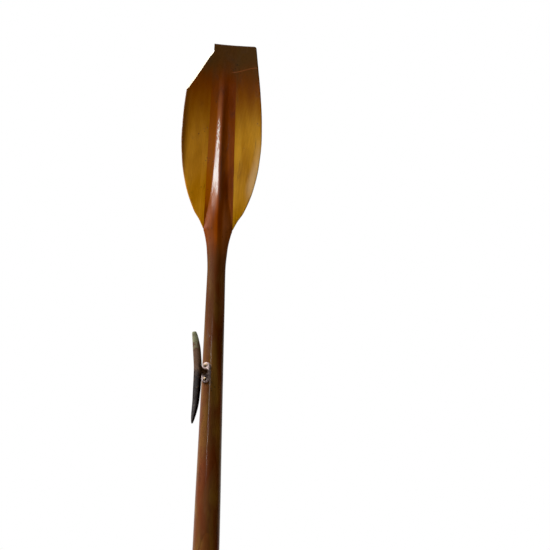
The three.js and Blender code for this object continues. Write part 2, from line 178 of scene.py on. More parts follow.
def add_object(name, work, material, sharp_degrees=38):
    """A bmesh in millimetres as an object in metres, without doubled points or slivers, smooth shaded and
    creased where it turns sharply, with a material or a list of them."""
    weld(work)
    bmesh.ops.dissolve_degenerate(work, edges=work.edges, dist=0.001)
    face_out(work)
    for vertex in work.verts:
        vertex.co *= MM
    mesh = as_mesh(work, name)
    for polygon in mesh.polygons:
        polygon.use_smooth = True
    mesh.set_sharp_from_angle(angle=radians(sharp_degrees))
    for one in material if isinstance(material, list) else [material]:
        mesh.materials.append(one)
    return loose_object(name, mesh)


def bridge(work, rings):
    """Faces between each ring and the next, but none that shrink to a line."""
    for ring, following in zip(rings, rings[1:]):
        for i in range(len(ring)):
            j = (i + 1) % len(ring)
            face = list(dict.fromkeys((ring[i], ring[j], following[j], following[i])))
            if len(face) > 2:
                work.faces.new(face)


def cap(work, rings):
    """A face over the first ring and one over the last."""
    work.faces.new(rings[0][::-1])
    work.faces.new(rings[-1])


def circle(count):
    return [2 * pi * i / count for i in range(count)]


def lofted(outer_rings, inner_rings):
    """A closed bmesh between two skins given as rings of points, with a strip of faces at either end."""
    work = bmesh.new()
    rings = []
    for outer, inner in zip(outer_rings, inner_rings):
        rings.append([work.verts.new(point) for point in outer + inner[::-1]])
    bridge(work, rings)
    size = len(rings[0])
    for ring in (rings[0], rings[-1]):
        for i in range(size // 2 - 1):
            work.faces.new((ring[i], ring[i + 1], ring[size - 2 - i], ring[size - 1 - i]))
    return work


def turned(profile, segments):
    """A solid of revolution about Z from rows of (radius, z) that start and end on the axis."""
    work = bmesh.new()
    rings = []
    for radius, z in profile:
        if radius == 0:
            rings.append([work.verts.new((0, 0, z))] * segments)
            continue
        turns = circle(segments)
        rings.append([work.verts.new((radius * cos(t), radius * sin(t), z)) for t in turns])
    bridge(work, rings)
    return work


def rounded_profile(profile, radius, arc_steps=4):
    """The same profile with each corner off the axis replaced by an arc of about the given radius."""
    points = [Vector(row) for row in profile]
    result = [points[0]]
    for before, corner, after in zip(points, points[1:], points[2:]):
        reach = min(radius, (before - corner).length / 2.2, (after - corner).length / 2.2)
        start = corner + (before - corner).normalized() * reach
        end = corner + (after - corner).normalized() * reach
        for i in range(arc_steps + 1):
            t = i / arc_steps
            result.append((1 - t) ** 2 * start + 2 * t * (1 - t) * corner + t * t * end)
    result.append(points[-1])
    return [(point[0], point[1]) for point in result]


def outward(turn, radius, z):
    """Where something made along +Z goes when it points away from the loom."""
    direction = Vector((cos(turn), sin(turn), 0))
    spin = Vector((0, 0, 1)).rotation_difference(direction).to_matrix().to_4x4()
    return Matrix.Translation(direction * radius + Vector((0, 0, z))) @ spin


def joined(works):
    """One bmesh holding a list of them."""
    whole = bmesh.new()
    for work in works:
        part = as_mesh(work, "part")
        whole.from_mesh(part)
        bpy.data.meshes.remove(part)
    return whole


def modified(mesh_object, *modifiers):
    """The mesh that an object has after the given modifiers, each a (type, settings) pair."""
    for kind, settings in modifiers:
        modifier = mesh_object.modifiers.new(kind.lower(), kind)
        for key, value in settings.items():
            setattr(modifier, key, value)
    shown = mesh_object.evaluated_get(bpy.context.evaluated_depsgraph_get())
    mesh = bpy.data.meshes.new_from_object(shown)
    bpy.data.objects.remove(mesh_object)
    return mesh


def carved(name, mesh, cutter_mesh, **settings):
    """A mesh without what lies inside a cutter."""
    cutter = loose_object(f"{name}_cutter", cutter_mesh)
    rule = {"operation": "DIFFERENCE", "solver": "EXACT", "object": cutter, **settings}
    result = modified(loose_object(name, mesh), ("BOOLEAN", rule))
    bpy.data.objects.remove(cutter)
    return result


def reopened(mesh):
    """A mesh as a bmesh again."""
    work = bmesh.new()
    work.from_mesh(mesh)
    return work


# ---- Materials. A "share" is a value from 0 to 1, or a socket that gives one.


def connect(tree, made, inputs):
    """Links or sets the named inputs of a node."""
    for key, value in inputs.items():
        if isinstance(value, bpy.types.NodeSocket):
            tree.links.new(value, made.inputs[key])
        else:
            made.inputs[key].default_value = value


def node(tree, kind, inputs=None, **settings):
    made = tree.nodes.new("ShaderNode" + kind)
    for key, value in settings.items():
        setattr(made, key, value)
    connect(tree, made, inputs or {})
    return made


def new_material(name):
    material = bpy.data.materials.new(name)
    material.use_nodes = True
    tree = material.node_tree
    return material, tree, tree.nodes["Principled BSDF"]


def srgb(red, green, blue):
    """A linear colour with alpha from 8-bit screen values."""
    def linear(value):
        value /= 255
        return value / 12.92 if value <= 0.04045 else ((value + 0.055) / 1.055) ** 2.4

    return (linear(red), linear(green), linear(blue), 1)


def scaled(tree, vector, scale, shift=(0, 0, 0)):
    inputs = {"Vector": vector, "Scale": scale, "Location": shift}
    return node(tree, "Mapping", inputs).outputs["Vector"]


def speckle(tree, vector, scale, detail=3, roughness=0.5, distortion=0):
    return node(tree, "TexNoise", {
        "Vector": vector, "Scale": scale, "Detail": detail, "Roughness": roughness, "Distortion": distortion,
    }).outputs["Fac"]


def spread(tree, value, low, high, to_low=0, to_high=1):
    """Goes smoothly from to_low to to_high as the value goes from low to high."""
    return node(tree, "MapRange", {
        "Value": value, "From Min": low, "From Max": high, "To Min": to_low, "To Max": to_high,
    }, interpolation_type="SMOOTHSTEP").outputs["Result"]


def from_tip(tree, height, far, near, *ends):
    """Spreads a height between two distances from the tip."""
    return spread(tree, height, (TIP_Z - far) * MM, (TIP_Z - near) * MM, *ends)


def maths(tree, operation, first, *others):
    """One operation applied to the first value and each other one in turn."""
    for other in others:
        first = node(tree, "Math", {0: first, 1: other}, operation=operation).outputs[0]
    return first


def blend(tree, share, first, second):
    made = node(tree, "Mix", data_type="RGBA", blend_type="MIX")
    sockets = {socket.identifier: i for i, socket in enumerate(made.inputs)}
    values = {"Factor_Float": share, "A_Color": first, "B_Color": second}
    connect(tree, made, {sockets[identifier]: value for identifier, value in values.items()})
    return next(one for one in made.outputs if one.identifier == "Result_Color")


def layered(tree, colour, layers):
    """A colour with others laid over it in turn, each given as (share, colour)."""
    for share, shade in layers:
        colour = blend(tree, share, colour, shade)
    return colour


def ramp(tree, value, stops):
    made = node(tree, "ValToRGB", {"Fac": value})
    elements = made.color_ramp.elements
    while len(elements) < len(stops):
        elements.new(0.5)
    for element, (position, colour) in zip(elements, stops):
        element.position = position
        element.color = colour
    return made.outputs["Color"]


def bumped(tree, *layers, under=None):
    """The normal that rows of (height, metres) give, laid one over another on the normal under them."""
    for height, distance in layers:
        inputs = {"Height": height, "Distance": distance, "Strength": 1}
        if under is not None:
            inputs["Normal"] = under
        under = node(tree, "Bump", inputs).outputs["Normal"]
    return under


def object_place(tree, shift=(0, 0, 0)):
    place = node(tree, "TexCoord").outputs["Object"]
    return scaled(tree, place, (1, 1, 1), shift)


def axis(tree, place, letter):
    return node(tree, "SeparateXYZ", {"Vector": place}).outputs[letter]


def grain_rings(tree, place, pith):
    """Growth rings about a distant pith, bent a little and unevenly spaced."""
    warp = speckle(tree, scaled(tree, place, (1, 1, 0.12)), 14, 3)
    bend = node(tree, "VectorMath", {0: warp, 1: (0.012, 0.012, 0)}, operation="MULTIPLY")
    bent = node(tree, "VectorMath", {0: place, 1: bend.outputs[0]}, operation="ADD").outputs[0]
    return node(tree, "TexWave", {
        "Vector": scaled(tree, bent, (1, 1, 0.006), pith), "Scale": 110,
        "Distortion": 2.5, "Detail": 3, "Detail Scale": 2,
    }, wave_type="RINGS", rings_direction="Z", wave_profile="SAW").outputs["Fac"]


TIP_STAIN_AND_SHADE_BROWN = srgb(112, 47, 4)
TIP_STAIN_AND_SHADE_GREY = srgb(74, 54, 26)
LOOM_BROWN = srgb(104, 68, 42)
LOOM_RED = srgb(102, 56, 36)
LOOM_OLIVE = srgb(120, 88, 44)
RIGHT_EDGE_PAINTED_HIGHLIGHT = srgb(245, 212, 170)
CRACK_BROWN = srgb(176, 96, 52)
LEFT_EDGE_PAINTED_SHADE_BROWN = srgb(104, 56, 8)
LEFT_PAINTED_LIGHT_BROWN = srgb(172, 92, 18)
PAINTED_SHADE_AND_DARK_BAND_BROWN = srgb(58, 30, 12)
NECK_PAINTED_LIGHT_PALE = srgb(156, 108, 76)
DIRT_BROWN = srgb(38, 20, 9)
SCRATCH_PALE = srgb(176, 130, 72)
CHIP_BROWN = srgb(40, 24, 14)
CRACK_FROM_TIP = 66
CRACK_RISE = 0.013


def tip_crack(tree, sideways, height):
    """The share of the hairline crack that curves across the tip from the stock into the right wing."""
    start, end = 0.016, 0.068
    rise = maths(tree, "MULTIPLY", spread(tree, sideways, start, end), CRACK_RISE)
    line = maths(tree, "ADD", rise, (TIP_Z - CRACK_FROM_TIP) * MM)
    off = maths(tree, "ABSOLUTE", maths(tree, "SUBTRACT", height, line), 0)
    return maths(
        tree, "MULTIPLY", spread(tree, sideways, start - 0.004, start + 0.006),
        spread(tree, sideways, end, end + 0.002, 1, 0), spread(tree, off, 0.0003, 0.0011, 0.55, 0))


def varnished(
        name, dark, light, shift=(0, 0, 0), streak=90, pith=(0.35, 0.22, 0), tip=0, loom=0, rim=0,
        rim_highlight=0, painted_crest_contrast=0):
    """Old varnish over straight-grained wood: a clear coat with sags, scratches and small chips, mostly worn
    off the loom. The share tip says how much darker it is at the tip, partly stain and partly painted shade;
    loom how stained it is below the neck, with a darker band there and painted shade left and painted light
    right of the centreline at the top of the loom; rim how much painted shade darkens the left edge;
    rim_highlight how strong the painted highlight along the right edge is; and painted_crest_contrast how
    strong the painted light left of the centreline and the painted shade right of the crest are."""
    material, tree, shader = new_material(name)
    place = object_place(tree, shift)
    true_place = object_place(tree)
    sideways = axis(tree, true_place, "X")
    height = axis(tree, true_place, "Z")
    streaks = speckle(tree, scaled(tree, place, (1, 1, 0.045)), streak, 3, 0.6, 0.15)
    cloud = speckle(tree, scaled(tree, place, (1, 1, 0.3)), 22, 3, 0.55, 0.6)
    fibre = speckle(tree, scaled(tree, place, (1, 1, 0.012)), 900, 3, 0.6)
    rings = grain_rings(tree, place, pith)
    ragged = maths(tree, "ADD", height, spread(tree, cloud, 0.2, 0.8, -0.02, 0.02))

    def times(*shares):
        return maths(tree, "MULTIPLY", *shares)

    def across(left, right, *ends):
        return spread(tree, sideways, left, right, *ends)

    def down(far, near, *ends):
        return from_tip(tree, ragged, far, near, *ends)

    tone = maths(
        tree, "ADD", spread(tree, streaks, 0.3, 0.7, 0, 0.34), spread(tree, cloud, 0.3, 0.7, 0, 0.46),
        spread(tree, fibre, 0.3, 0.7, 0, 0.1), spread(tree, rings, 0, 1, 0, 0.1))
    # painted light: the blade's centre stock is lighter left of its centreline
    left_painted_light = times(across(-0.006, -0.001, painted_crest_contrast, 0), from_tip(tree, height, 420, 320))
    # painted shade: a dark strip just right of the crest
    crest_painted_shade = times(across(-0.003, 0, 0, painted_crest_contrast), across(0.003, 0.012, 0.6, 0))
    patches = speckle(tree, scaled(tree, true_place, (1, 1, 0.22), (5, 2, 0)), 48, 3, 0.55, 0.8)
    aged = ramp(tree, patches, [(0.36, LOOM_RED), (0.5, LOOM_BROWN), (0.66, LOOM_OLIVE)])
    # a darker band from just below the neck down the upper loom
    dark_band_below_neck = times(down(540, 460, 0.5 * loom, 0), down(760, 690))
    loom_top = times(down(430, 350, loom, 0), down(680, 610))
    # painted highlight: a pale band along the right wing's outer edge, part way down the blade
    into_rim_highlight = maths(tree, "SUBTRACT", sideways, from_tip(tree, height, 360, 250, 0.046, 0.064))
    right_edge_painted_highlight = times(spread(tree, into_rim_highlight, 0, 0.014, 0, rim_highlight), down(300, 200, 1, 0), down(390, 320))
    dirt = speckle(tree, scaled(tree, true_place, (1, 1, 0.25)), 55, 5, 0.65, 0.8)
    marks = speckle(tree, scaled(tree, true_place, (1, 1, 0.02), (3, 1, 7)), 420, 2, 0.7, 0.3)
    scratch = spread(tree, marks, 0.74, 0.78)
    cells = node(tree, "TexVoronoi", {"Vector": true_place, "Scale": 190}, feature="F1")
    chip_place = speckle(tree, true_place, 22, 2, 0.5)
    chip = times(
        spread(tree, cells.outputs["Distance"], 0.16, 0.22, 1, 0), spread(tree, chip_place, 0.62, 0.68))
    colour = layered(tree, ramp(tree, tone, [(0.12, dark), (0.88, light)]), [
        (left_painted_light, LEFT_PAINTED_LIGHT_BROWN),
        (crest_painted_shade, PAINTED_SHADE_AND_DARK_BAND_BROWN),
        # darker and greyer towards the tip: partly water stain, partly painted shade
        (down(260, 80, 0, tip), TIP_STAIN_AND_SHADE_BROWN),
        (down(122, 32, 0, 0.85 * tip), TIP_STAIN_AND_SHADE_GREY),
        (down(545, 440, loom, 0), aged),
        (dark_band_below_neck, PAINTED_SHADE_AND_DARK_BAND_BROWN),
        # painted shade left of the centreline and painted light right of it, at the top of the loom
        (times(loom_top, across(-0.012, -0.002, 0.5, 0)), PAINTED_SHADE_AND_DARK_BAND_BROWN),
        (times(loom_top, across(0.004, 0.012, 0, 0.35)), NECK_PAINTED_LIGHT_PALE),
        # painted shade along the left wing's outer edge
        (across(-0.079, -0.066, rim, 0), LEFT_EDGE_PAINTED_SHADE_BROWN),
        (right_edge_painted_highlight, RIGHT_EDGE_PAINTED_HIGHLIGHT),
        (tip_crack(tree, sideways, height), CRACK_BROWN),
        (spread(tree, dirt, 0.56, 0.76, 0, 0.4), DIRT_BROWN),
        (times(scratch, 0.35), SCRATCH_PALE),
        (chip, CHIP_BROWN),
    ])

    worn_height = maths(tree, "ADD", ragged, across(-0.025, -0.009, -0.08, 0))
    on_blade = times(from_tip(tree, worn_height, 415, 335, 0.01, 1), down(220, 140, 1, 0.15))
    coat_left = maths(tree, "ADD", on_blade, from_tip(tree, height, 740, 580, 0.6, 0))
    flakes = speckle(tree, scaled(tree, true_place, (1, 1, 0.45), (2, 9, 4)), 300, 2, 0.6, 0.4)
    flaked = times(spread(tree, flakes, 0.48, 0.54, 0, 0.8), from_tip(tree, height, 300, 230))
    sags = speckle(tree, scaled(tree, true_place, (1, 1, 0.35)), 95, 2, 0.4)
    brush = speckle(tree, scaled(tree, true_place, (1, 1, 0.03)), 380, 2, 0.5)
    brushed = bumped(tree, (sags, 0.00028), (brush, 0.00005))
    connect(tree, shader, {
        "Base Color": colour,
        "Roughness": maths(tree, "ADD", spread(tree, dirt, 0.45, 0.8, 0.4, 0.6), times(scratch, 0.2)),
        "Specular IOR Level": from_tip(tree, worn_height, 430, 350, 0.02, 0.13),
        "Normal": bumped(tree, (fibre, 0.00004), under=brushed),
        "Coat Weight": times(coat_left, maths(tree, "SUBTRACT", 1, flaked)),
        "Coat IOR": 1.5,
        "Coat Roughness": spread(tree, dirt, 0.4, 0.8, 0.13, 0.3),
        "Coat Normal": bumped(tree, (chip, -0.0002), under=brushed),
    })
    return material


def bare_wood(name, dark, light, pith, worn):
    """Unvarnished wood, greyed by handling."""
    material, tree, shader = new_material(name)
    place = object_place(tree)
    fibre = speckle(tree, scaled(tree, place, (1, 1, 0.02)), 900, 3, 0.6)
    rings = grain_rings(tree, place, pith)
    tone = maths(
        tree, "ADD", spread(tree, fibre, 0.3, 0.7, 0, 0.5), spread(tree, rings, 0, 1, 0, 0.4))
    grime = speckle(tree, scaled(tree, place, (1, 1, 0.5)), 60, 4, 0.6)
    colour = ramp(tree, tone, [(0.1, dark), (0.9, light)])
    greyed = spread(tree, grime, 0.4, 0.75, 0, worn)
    connect(tree, shader, {
        "Base Color": blend(tree, greyed, colour, srgb(72, 48, 30)),
        "Roughness": spread(tree, grime, 0.3, 0.7, 0.75, 0.5),
        "Normal": bumped(tree, (fibre, 0.00015)),
    })
    return material


def broken_wood():
    """Fresh wood in the fracture: pale, with a brown line along its middle and whiter towards the back."""
    material, tree, shader = new_material("broken_wood")
    place = object_place(tree)
    swept_share = node(tree, "MapRange", {
        "Value": axis(tree, place, "Z"), "From Min": (TIP_Z - SWEEP_START) * MM, "From Max": TIP_Z * MM,
    }).outputs["Result"]
    swept = maths(tree, "MULTIPLY", maths(tree, "POWER", swept_share, 2), SWEEP_DEPTH * MM)
    depth = maths(tree, "ADD", axis(tree, place, "Y"), swept)
    fibre = speckle(tree, scaled(tree, place, (1, 1, 0.03)), 1100, 3, 0.6)
    ragged = maths(tree, "ADD", depth, spread(tree, fibre, 0.3, 0.7, -0.0006, 0.0006))
    connect(tree, shader, {
        "Base Color": ramp(tree, spread(tree, ragged, -0.0048, 0.002), [
            (0.1, srgb(222, 204, 176)), (0.42, srgb(230, 214, 190)), (0.54, srgb(150, 112, 86)),
            (0.66, srgb(252, 244, 232))]),
        "Roughness": 0.8,
        "Normal": bumped(tree, (fibre, 0.0002)),
    })
    return material


def leather(name, dark, light):
    """Greased leather: small irregular grain, creases darkened with painted shade, and darker patches from
    handling.
    """
    material, tree, shader = new_material(name)
    place = object_place(tree)
    grain = node(tree, "TexVoronoi", {
        "Vector": place, "Scale": 900}, feature="SMOOTH_F1").outputs["Distance"]
    creases = speckle(tree, scaled(tree, place, (1, 1, 2.4)), 85, 5, 0.62, 1.2)
    patches = speckle(tree, place, 28, 3, 0.55)
    colour = ramp(tree, patches, [(0.3, dark), (0.72, light)])
    # painted shade: darker in the creases
    crease_painted_shade = spread(tree, creases, 0.36, 0.5, 0.6, 0)
    connect(tree, shader, {
        "Base Color": blend(tree, crease_painted_shade, colour, srgb(26, 14, 9)),
        "Roughness": spread(tree, patches, 0.3, 0.7, 0.42, 0.62),
        "Sheen Weight": 0.1,
        "Normal": bumped(tree, (grain, 0.00018), (creases, 0.0005)),
    })
    return material


def old_metal(name, bright, tarnish, patina, patina_share, rough=(0.3, 0.6), pitting=0.00012):
    """A cast or drawn metal part whose tarnish has rubbed bright in places, with patches of patina."""
    material, tree, shader = new_material(name)
    place = object_place(tree)
    rub = speckle(tree, place, 140, 4, 0.6, 0.4)
    bloom = spread(tree, speckle(tree, place, 65, 5, 0.65), 0.5, 0.68, 0, patina_share)
    grit = speckle(tree, place, 620, 4, 0.6)
    colour = ramp(tree, rub, [(0.35, tarnish), (0.72, bright)])
    connect(tree, shader, {
        "Base Color": blend(tree, bloom, colour, patina),
        "Metallic": spread(tree, bloom, 0, 1, 1, 0.15),
        "Roughness": spread(tree, rub, 0.3, 0.8, rough[1], rough[0]),
        "Normal": bumped(tree, (grit, pitting), (rub, pitting * 3)),
    })
    return material


def cleat_metal(low_z, high_z):
    """Dark cast bronze, near black, made greyer higher up by painted light, with a pale green bloom at the
    upper tip and lime on its base."""
    material, tree, shader = new_material("cleat_bronze")
    place = object_place(tree)
    rub = speckle(tree, place, 120, 4, 0.6, 0.5)
    ragged = maths(tree, "ADD", axis(tree, place, "Z"), spread(tree, rub, 0.3, 0.7, -0.012, 0.012))
    # painted light: greyer higher up the cleat
    painted_light_higher_up = spread(tree, ragged, low_z + 0.45 * (high_z - low_z), low_z + 0.75 * (high_z - low_z))
    bloom = spread(tree, ragged, high_z - 0.03, high_z - 0.008)
    level = node(tree, "VectorMath", {0: place, 1: (1, 1, 0)}, operation="MULTIPLY").outputs[0]
    radius = node(tree, "VectorMath", {0: level}, operation="LENGTH").outputs["Value"]
    lime = maths(
        tree, "MULTIPLY", spread(tree, radius, (BASE_TOP + 1) * MM, (BASE_TOP + 3) * MM, 1, 0),
        spread(tree, rub, 0.36, 0.56, 0.35, 1))
    grit = speckle(tree, place, 560, 4, 0.6)
    connect(tree, shader, {
        "Base Color": layered(tree, srgb(24, 14, 11), [
            (painted_light_higher_up, srgb(106, 78, 60)),
            (bloom, srgb(140, 138, 106)),
            (spread(tree, rub, 0.56, 0.74, 0, 0.4), srgb(104, 84, 60)),
            (lime, srgb(170, 150, 146)),
        ]),
        "Metallic": spread(tree, bloom, 0, 1, 0.35, 0.05),
        "Specular IOR Level": 0.25,
        "Roughness": spread(tree, rub, 0.3, 0.8, 0.6, 0.4),
        "Normal": bumped(tree, (grit, 0.00018), (rub, 0.0005)),
    })
    return material


def thread_material():
    """Waxed linen thread, its twist showing as fine slanting lines."""
    material, tree, shader = new_material("waxed_thread")
    twist = node(tree, "TexWave", {
        "Vector": object_place(tree), "Scale": 620, "Distortion": 1,
    }, bands_direction="DIAGONAL").outputs["Fac"]
    connect(tree, shader, {
        "Base Color": ramp(tree, twist, [(0.2, srgb(120, 98, 66)), (0.8, srgb(196, 176, 136))]),
        "Roughness": 0.55,
        "Normal": bumped(tree, (twist, 0.00015)),
    })
    return material


STOCK_WOOD = varnished(
    "stock_wood", srgb(108, 43, 5), srgb(157, 77, 21), tip=0.9, loom=0.8, painted_crest_contrast=0.85)
INBOARD_WOOD = varnished(
    "inboard_wood", srgb(112, 52, 8), srgb(160, 88, 26), shift=(0.3, 0.1, 0.9), pith=(0.28, -0.3, 0),
    loom=0.8)
LEFT_WING_WOOD = varnished(
    "left_wing_wood", srgb(163, 99, 10), srgb(210, 141, 35), shift=(0.5, 0.2, 0.4), pith=(0.2, 0.35, 0),
    streak=70, tip=0.95, rim=0.9)
RIGHT_WING_WOOD = varnished(
    "right_wing_wood", srgb(177, 114, 15), srgb(228, 163, 43), shift=(0.9, 0.7, 0.1), pith=(-0.3, 0.25, 0),
    streak=70, tip=0.95, rim_highlight=0.34)
STRIP_WOOD = varnished(
    "strip_wood", srgb(150, 98, 40), srgb(206, 156, 88), shift=(0.2, 0.8, 0.3), streak=160)
BROKEN_WOOD = broken_wood()
GRIP_WOOD = bare_wood("grip_wood", srgb(150, 106, 62), srgb(204, 164, 112), (0.004, 0.002, 0), 0.65)
CORE_WOOD = bare_wood("core_wood", srgb(160, 118, 70), srgb(208, 170, 118), (0.3, 0.1, 0), 0.1)
SLEEVE_LEATHER = leather("sleeve_leather", srgb(62, 34, 20), srgb(108, 62, 36))
BUTTON_LEATHER = leather("button_leather", srgb(78, 44, 26), srgb(132, 80, 48))
COPPER = old_metal("copper", srgb(190, 112, 74), srgb(112, 60, 40), srgb(96, 128, 104), 0.5)
BRASS = old_metal(
    "screw_brass", srgb(170, 148, 120), srgb(96, 76, 56), srgb(90, 84, 60), 0.3, (0.2, 0.45), 0.00005)
THREAD = thread_material()


# ---- The loom and the blade's centre stock.

BLADE_STEP = 4
LOOM_STEP = 20
SKIN_POINTS = 36
PLANING = 0.12
GLUE_GAP = 0.01
HOLLOW_START = 900
HOLLOW_FULL = 1000
WALL = 9.3
FACE_SCARF = 1190
BACK_SCARF = 1560
SCARF_SLOPE = 8
SCARF_GAP = 0.04
SCARF_REACH = 220
STRIP_START = 440
strip_half = through([(STRIP_START, 1.5), (590, 5), (LOOM_END, 5)])
strip_depth = through([(STRIP_START, 1.2), (590, 4.5), (LOOM_END, 4.5)])
TIP_STATIONS = [0, 0.08, 0.3, 0.7, 1.3, EDGE_RADIUS]
loom_stations = TIP_STATIONS + steps(BLADE_STEP, 560, BLADE_STEP) + steps(580, LOOM_END, LOOM_STEP)


def planed(x, d):
    """Hand-planed unevenness: how far the skin falls short of its true shape."""
    return PLANING * (0.5 + 0.5 * noise.noise(Vector((x / 16, d / 55, 3))))


def skin_rings(side, stations):
    """The outside of one loom half at each station, with the strip's groove in the back half."""
    rings = []
    for d in stations:
        groove = strip_half(d) if side > 0 else 0
        width = centre_half(d)
        depth = strip_depth(d) if side > 0 and d > STRIP_START else 0
        start = asin(groove / width)
        turns = [start + (pi / 2 - start) * i / SKIN_POINTS for i in range(SKIN_POINTS + 1)]
        left, right = [], []
        for points, sign in ((left, -1), (right, 1)):
            for turn in turns:
                x = sign * width * sin(turn)
                shortfall = planed(x, d) * cos(turn)
                points.append((x, surface(x, d, side, rounding(d, EDGE_RADIUS)) - side * shortfall))
        centre = []
        if side > 0:
            floor = surface(0, d, side, rounding(d, EDGE_RADIUS)) - depth
            centre = [(-groove, min(floor, left[0][1])), (groove, min(floor, right[0][1]))]
        else:
            left = left[1:]
        rings.append([(x, y, TIP_Z - d) for x, y in left[::-1] + centre + right])
    return rings


def glue_rings(side, stations, count):
    """One half's glue face, with the routed channel that makes the hollow, in rings of count points."""
    rings = []
    for d in stations:
        half = centre_half(d)
        radius = half - WALL
        depth = sqrt(clamp01((d - HOLLOW_START) / (HOLLOW_FULL - HOLLOW_START)))
        flats = count // 6
        arc = count - 1 - 2 * flats
        ring = []
        for i in range(count):
            turn = pi * (i - flats) / arc
            x = -radius * cos(turn)
            y = radius * sin(turn) * depth
            edge = min(i, count - 1 - i)
            if edge < flats:
                x = (edge / flats * (half - radius) - half) * (1 if i < flats else -1)
                y = 0
            ring.append((x, middle(x, d) + side * (GLUE_GAP + y), TIP_Z - d))
        rings.append(ring)
    return rings


def cut_at_scarf(work, side, scarf, keep_outboard):
    """Keeps one side of the sloping plane where two lengths of timber meet."""
    normal = Vector((0, -SCARF_SLOPE * side, 1)).normalized()
    point = Vector((0, 0, TIP_Z - scarf)) + normal * (SCARF_GAP if keep_outboard else -SCARF_GAP)
    geometry = work.verts[:] + work.edges[:] + work.faces[:]
    cut = bmesh.ops.bisect_plane(
        work, geom=geometry, plane_co=point, plane_no=normal, clear_inner=keep_outboard,
        clear_outer=not keep_outboard)
    edges = [item for item in cut["geom_cut"] if isinstance(item, bmesh.types.BMEdge)]
    filled = bmesh.ops.edgenet_fill(work, edges=edges)
    bmesh.ops.triangulate(work, faces=filled["faces"])


def loom_length(name, side, scarf, keep_outboard, material):
    """One length of one half: outboard of its scarf, or inboard."""
    if keep_outboard:
        stations = [d for d in loom_stations if d < scarf + SCARF_REACH]
    else:
        stations = [d for d in loom_stations if d > scarf - SCARF_REACH]
    outer = skin_rings(side, stations)
    work = lofted(outer, glue_rings(side, stations, len(outer[0])))
    face_out(work)
    cut_at_scarf(work, side, scarf, keep_outboard)
    node_name = name + "_half"
    piece = add_object(name, work, material)
    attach(piece, "root")
    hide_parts(node_name)


loom_length("outboard_face", -1, FACE_SCARF, True, STOCK_WOOD)
loom_length("outboard_back", 1, BACK_SCARF, True, STOCK_WOOD)
loom_length("inboard_face", -1, FACE_SCARF, False, INBOARD_WOOD)
loom_length("inboard_back", 1, BACK_SCARF, False, INBOARD_WOOD)


def make_strip():
    """The hardwood strip, flush with the loom's back, just clear of its groove."""
    top, bottom = [], []
    for d in [d for d in loom_stations if d > STRIP_START]:
        xs = [strip_half(d) * (i / 4 - 1) * 0.995 for i in range(9)]
        top.append([(x, surface(x, d, 1) - planed(x, d), TIP_Z - d) for x in xs])
        bottom.append([(x, surface(0, d, 1) - strip_depth(d) + 0.02, TIP_Z - d) for x in xs])
    piece = add_object("strip", lofted(top, bottom), STRIP_WOOD)
    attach(piece, "root")
    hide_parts("backbone_strip")


make_strip()


# ---- The wings, and the break that took the left one's corner off.

WING_END = 435
WING_POINTS = 34
WING_GLUE = 0.02
EDGE_TRIM = 0.1
WING_EDGES = [0.03, 0.14, 0.4, 0.9, EDGE_RADIUS]
wing_stations = TIP_STATIONS + steps(BLADE_STEP, 400, BLADE_STEP) + steps(403, WING_END, 3)


def corner(d):
    """How far the tip's rounded corner cuts in from the outline."""
    return CORNER_RADIUS * (1 - rounding(d, CORNER_RADIUS))


def wing_work(sign):
    """A whole wing: the left one (-1) or the right one (1)."""
    face, back = [], []
    for d in wing_stations:
        inner = centre_half(d) - WING_GLUE
        outer = max(inner + EDGE_TRIM, half_width(d) - EDGE_TRIM - corner(d))
        span = outer - inner
        xs = [inner + (span - EDGE_RADIUS) * i / WING_POINTS for i in range(WING_POINTS)]
        xs += [outer - edge for edge in reversed(WING_EDGES)] + [outer]
        if span < 2 * EDGE_RADIUS:
            xs = [inner + span * i / (len(xs) - 1) for i in range(len(xs))]
        front_ring, back_ring = [], []
        for x in xs:
            thickness = rounding(outer - x, min(EDGE_RADIUS, span)) * rounding(d, EDGE_RADIUS)
            for ring, side in ((front_ring, -1), (back_ring, 1)):
                ring.append((sign * x, surface(x, d, side, thickness), TIP_Z - d))
        face.append(front_ring)
        back.append(back_ring)
    return lofted(face, back)


SPLIT_END = 12
BREAK_EDGE = 111
break_line = through([
    (SPLIT_END, stock_half(SPLIT_END) + 1), (36, 40.3), (65, 54.6), (94, 69),
    (BREAK_EDGE, half_width(BREAK_EDGE)),
])
BREAK_SLANT = 6
BREAK_ACROSS = 0.83
BREAK_DOWN = 0.56
STEP_HEIGHT = 0.12
FRAY = 0.2
SHEET_REACH = 2.4
CUTTER_REACH = 5.4
CUTTER_SIDE = -130


